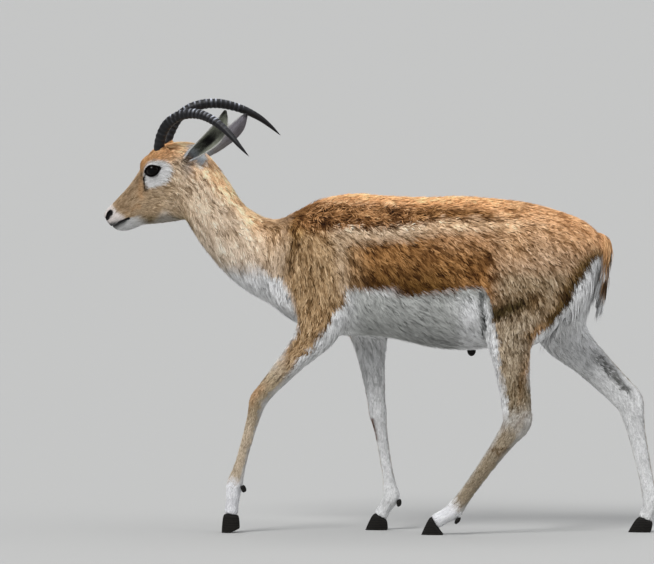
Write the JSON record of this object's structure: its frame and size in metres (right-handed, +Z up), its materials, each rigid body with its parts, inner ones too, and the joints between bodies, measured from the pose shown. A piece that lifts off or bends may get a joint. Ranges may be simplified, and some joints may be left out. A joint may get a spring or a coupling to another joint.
{
  "type": "blackbuck",
  "caption": "Life-size still model of a young male blackbuck in a slow walk, head up, with ringed horns that curve back and down.",
  "frame": {"origin": "on the floor, below the centre of the animal's box", "axes": "the animal faces -X, its left side is toward -Y and +Z is up"},
  "size_m": [1.1786, 0.2566, 0.9079],
  "materials": {
    "coat": "short fawn fur, white below",
    "skin": "bare dark skin",
    "horn": "ringed black horn, worn grey on the ridges",
    "eye": "wet dark brown",
    "hoof": "dull dark grey horn"
  },
  "bodies": {
    "root": {"head": "coat", "neck": "coat", "torso": "coat", "tail": "coat", "sheath": "skin", "ear_left": "coat", "ear_right": "coat", "eye_left": "eye", "eye_right": "eye", "horn_left": "horn", "horn_right": "horn", "foreleg_left_upper": "coat", "foreleg_left_cannon": "coat", "foreleg_left_pastern": "coat", "foreleg_left_hoof_inner": "hoof", "foreleg_left_hoof_outer": "hoof", "foreleg_left_dewclaw_inner": "hoof", "foreleg_left_dewclaw_outer": "hoof", "foreleg_right_upper": "coat", "foreleg_right_cannon": "coat", "foreleg_right_pastern": "coat", "foreleg_right_hoof_inner": "hoof", "foreleg_right_hoof_outer": "hoof", "foreleg_right_dewclaw_inner": "hoof", "foreleg_right_dewclaw_outer": "hoof", "hindleg_left_upper": "coat", "hindleg_left_cannon": "coat", "hindleg_left_pastern": "coat", "hindleg_left_hoof_inner": "hoof", "hindleg_left_hoof_outer": "hoof", "hindleg_left_dewclaw_inner": "hoof", "hindleg_left_dewclaw_outer": "hoof", "hindleg_right_upper": "coat", "hindleg_right_cannon": "coat", "hindleg_right_pastern": "coat", "hindleg_right_hoof_inner": "hoof", "hindleg_right_hoof_outer": "hoof", "hindleg_right_dewclaw_inner": "hoof", "hindleg_right_dewclaw_outer": "hoof"}
  },
  "joints": []
}
